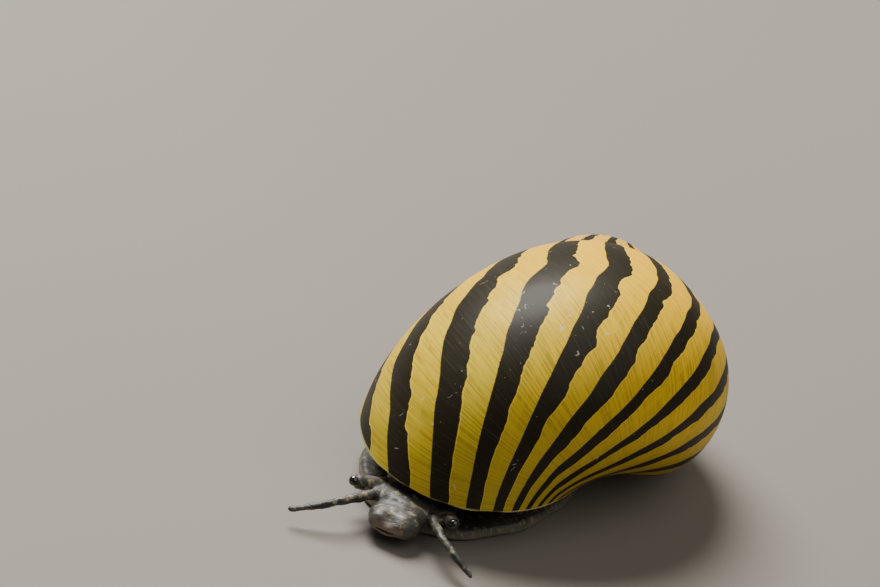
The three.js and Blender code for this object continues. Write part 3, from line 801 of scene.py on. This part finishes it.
def route_point(route, along):
    """A point on the smooth curve through a route's points; along runs from 0 to 1."""
    spans = len(route) - 1
    span = min(int(along * spans), spans - 1)
    part = along * spans - span
    a, b, c, d = (Vector(route[max(0, min(spans, span + k))]) for k in (-1, 0, 1, 2))
    return 0.5 * (2 * b + (c - a) * part + (2 * a - 5 * b + 4 * c - d) * part**2
                  + (3 * b - a - 3 * c + d) * part**3)


def draw_feeler(route, root, tip, steps):
    """A round feeler with a domed tip, drawn along a route and narrowing towards its tip."""
    form = bmesh.new()
    bmesh.ops.create_circle(form, cap_ends=True, segments=FEELER_SIDES, radius=1.0)
    cap = next(iter(form.faces))
    before = Matrix.Identity(4)
    for step in range(steps + 1):
        along = step / steps
        ahead = (route_point(route, min(1.0, along + 0.01))
                 - route_point(route, max(0.0, along - 0.01)))
        dome = math.sqrt(max(DOME_END, 1 - max(0.0, (along - DOME_FROM) / DOME_LENGTH) ** 2))
        here = (
            Matrix.Translation(route_point(route, along))
            @ ahead.to_track_quat("Z", "Y").to_matrix().to_4x4()
            @ Matrix.Scale((root + (tip - root) * along) * dome, 4)
        )
        if step > 0:
            old_cap = cap
            grown = bmesh.ops.extrude_face_region(form, geom=[cap])["geom"]
            cap = next(g for g in grown if isinstance(g, bmesh.types.BMFace))
            if step > 1:
                bmesh.ops.delete(form, geom=[old_cap], context="FACES_ONLY")
        bmesh.ops.transform(form, matrix=here @ before.inverted(), verts=cap.verts)
        before = here
    bmesh.ops.recalc_face_normals(form, faces=form.faces)
    return form


def gather(body, form):
    """Lays one form beside the others in a body and frees it."""
    patch = bpy.data.meshes.new("patch")
    form.to_mesh(patch)
    form.free()
    body.from_mesh(patch)
    bpy.data.meshes.remove(patch)


def draw_skin(body):
    """One closed skin over all the overlapping forms, relaxed until the joins are soft."""
    mesh = bpy.data.meshes.new("flesh")
    body.to_mesh(mesh)
    body.free()
    thing = bpy.data.objects.new("flesh", mesh)
    bpy.context.scene.collection.objects.link(thing)
    over = thing.modifiers.new("over", "REMESH")
    over.mode = "VOXEL"
    over.voxel_size = SKIN_GRAIN
    evaluated = thing.evaluated_get(bpy.context.evaluated_depsgraph_get())
    skin = bmesh.new()
    skin.from_mesh(evaluated.to_mesh())
    bpy.data.meshes.remove(mesh)
    for _ in range(SKIN_RELAXINGS):
        bmesh.ops.smooth_vert(skin, verts=skin.verts, factor=0.5, use_axis_x=True,
                              use_axis_y=True, use_axis_z=True)
    return skin


def crease(skin):
    """Shallow folds cross the back of the head and neck, and the rest of the skin is uneven."""
    skin.normal_update()
    for spot in skin.verts:
        if spot.co.z < SOLE_LEFT_FLAT:
            continue
        on_head = min(1.0, max(0.0, (FOLDS_FROM - spot.co.y) / FOLDS_FADE))
        bend = FOLD_BEND * noise.noise(spot.co * 0.8)
        fold = math.sin(2 * math.pi * FOLDS_PER_MM * (spot.co.y + bend)) * on_head
        spot.co += spot.normal * FOLD_HEIGHT * (0.6 * fold + noise.noise(spot.co * 1.9))


def make_flesh():
    body = make_foot()
    for centre, radii in (STALK, NECK, HEAD, SNOUT, *SNOUT_LOBES, *LIPS):
        gather(body, ball(centre, radii))
    gather(body, mouth_room(WALL + MANTLE_GAP, MANTLE_LOW, MANTLE_HIGH, MANTLE_BACK))
    for route in (LEFT_TENTACLE, RIGHT_TENTACLE):
        gather(body, draw_feeler(route, TENTACLE_ROOT, TENTACLE_TIP, TENTACLE_STEPS))
    for side in (-1, 1):
        route = [(side * x, y, z) for x, y, z in EYE_STALK_ROUTE]
        gather(body, draw_feeler(route, EYE_STALK_ROOT, EYE_STALK_TIP, EYE_STALK_STEPS))
    skin = draw_skin(body)
    crease(skin)
    return carve(skin, [("DIFFERENCE", ball(*MOUTH_SLIT))])


def paint_flesh():
    material, shader, place = new_finish("wet_skin")
    across = place.part(0) / METRES_PER_MM
    ahead = place.part(1) / METRES_PER_MM
    height = place.part(2) / METRES_PER_MM
    flecks = place.stretched((1.0, 1.5, 1.0)).grain(FLECKS_PER_M)
    specks = place.grain(SPECKS_PER_M)
    patches = place.grain(PATCHES_PER_M, 3.0)
    wrinkles = place.stretched((1.0, 2.6, 1.0)).grain(WRINKLES_PER_M, 4.0, 0.6)
    skin = patches.step(0.38, 0.62).tint(SKIN_SLATE, SKIN_GREY)
    skin = (flecks.step(0.57, 0.64) * 0.7).tint(skin, SKIN_OCHRE)
    skin = (specks.step(0.60, 0.70) * 0.5).tint(skin, SKIN_SLATE)
    margin = (1.0 - height.step(*MARGIN_HEIGHT)) * ahead.step(*MARGIN_FRONT)
    skin = (margin * 0.75).tint(skin, SKIN_MARGIN)
    skin = (1.0 - height.step(*SOLE_HEIGHT)).tint(skin, SOLE_PALE)
    lips = (1.0 - ahead.step(*LIPS_FRONT)) * (1.0 - across.math("ABSOLUTE").step(*LIPS_WIDTH))
    skin = (lips * (1.0 - height.step(*LIPS_HEIGHT)) * 0.7).tint(skin, LIP_PINK)
    feed(shader, "Base Color", skin)
    feed(shader, "Roughness", wrinkles * 0.25 + 0.36)
    shader.inputs["Coat Weight"].default_value = SKIN_COAT
    shader.inputs["Coat Roughness"].default_value = SKIN_COAT_ROUGHNESS
    shader.inputs["Subsurface Weight"].default_value = SKIN_DEPTH
    shader.inputs["Subsurface Radius"].default_value = SKIN_DEPTH_RADIUS
    relief(shader, wrinkles + flecks * 0.4, WRINKLE_DEPTH_M, 0.8)
    return material


flesh_nodes = ["foot_front", "foot_middle", "foot_rear", "mantle_body", "mantle_edge", "head",
               "snout"]
for side in ("left", "right"):
    flesh_nodes += [f"tentacle_{side}_{length}" for length in ("base", "middle", "tip")]
    flesh_nodes.append(f"eye_stalk_{side}")
settle("flesh", make_flesh(), paint_flesh(), "flesh_head", *flesh_nodes)


# The eyes. Each is a small black bead set in the end of a short stalk outside its tentacle, under
# a clear, wet cornea that is one with the skin.
EYE_PLACE = Vector((3.2, -8.85, 2.05))
EYE_RADIUS = 0.3
EYE_BLACK = (0.004, 0.004, 0.005)
EYE_BROWN = (0.018, 0.015, 0.012)
EYE_GRAINS_PER_M = 5200.0
EYE_ROUGHNESS, EYE_COAT, EYE_COAT_ROUGHNESS = 0.08, 1.0, 0.03


def paint_eye():
    material, shader, place = new_finish("eye_black")
    depth = place.grain(EYE_GRAINS_PER_M).step(0.4, 0.7)
    feed(shader, "Base Color", depth.tint(EYE_BLACK, EYE_BROWN))
    shader.inputs["Roughness"].default_value = EYE_ROUGHNESS
    shader.inputs["Coat Weight"].default_value = EYE_COAT
    shader.inputs["Coat Roughness"].default_value = EYE_COAT_ROUGHNESS
    return material


eye_finish = paint_eye()
for side, sign in (("left", 1), ("right", -1)):
    bead = ball((sign * EYE_PLACE.x, EYE_PLACE.y, EYE_PLACE.z), (EYE_RADIUS,) * 3, 32, 16)
    settle(f"eyeball_{side}", bead, eye_finish, "eye", f"eye_{side}")


# The operculum. A hard, limy plate grows on the back of the foot and shuts the shell when the
# animal draws in. It is D-shaped like the mouth, smooth outside, with curved growth rings.
OPERCULUM_HALF_LENGTH = 2.4
OPERCULUM_DEPTH = 2.3
OPERCULUM_THICKNESS = 0.55
OPERCULUM_ROUNDING = 0.16
OPERCULUM_PLACE = Vector((-2.2, 3.5, 1.3))
OPERCULUM_GREY = (0.34, 0.27, 0.22)
OPERCULUM_BROWN = (0.22, 0.15, 0.11)
OPERCULUM_SHARP_ANGLE = math.radians(40)


def make_operculum():
    form = bmesh.new()
    bmesh.ops.create_circle(form, cap_ends=True, segments=64, radius=1.0)
    disc = form.verts[:] + form.edges[:] + form.faces[:]
    bmesh.ops.bisect_plane(form, geom=disc, plane_co=(0, 0, 0), plane_no=(0, 1, 0),
                           clear_outer=True)
    bmesh.ops.scale(form, vec=(OPERCULUM_HALF_LENGTH, OPERCULUM_DEPTH, 1), verts=form.verts)
    grown = bmesh.ops.extrude_face_region(form, geom=form.faces[:])["geom"]
    top = [g for g in grown if isinstance(g, bmesh.types.BMVert)]
    bmesh.ops.translate(form, vec=(0, 0, OPERCULUM_THICKNESS), verts=top)
    bmesh.ops.recalc_face_normals(form, faces=form.faces)
    edges = [e for e in form.edges if e.calc_face_angle(0) > 0.5]
    bmesh.ops.bevel(form, geom=edges, offset=OPERCULUM_ROUNDING, affect="EDGES", segments=4,
                    profile=0.5, material=-1)
    bmesh.ops.rotate(form, matrix=Matrix.Rotation(DECK_LINE_ANGLE, 3, "Z"), verts=form.verts)
    bmesh.ops.translate(form, vec=OPERCULUM_PLACE, verts=form.verts)
    return form


operculum_finish = paint_shelf("operculum_lime", OPERCULUM_GREY, OPERCULUM_BROWN)
operculum = settle("operculum_plate", make_operculum(), operculum_finish, "operculum", "operculum")
operculum.data.set_sharp_from_angle(angle=OPERCULUM_SHARP_ANGLE)
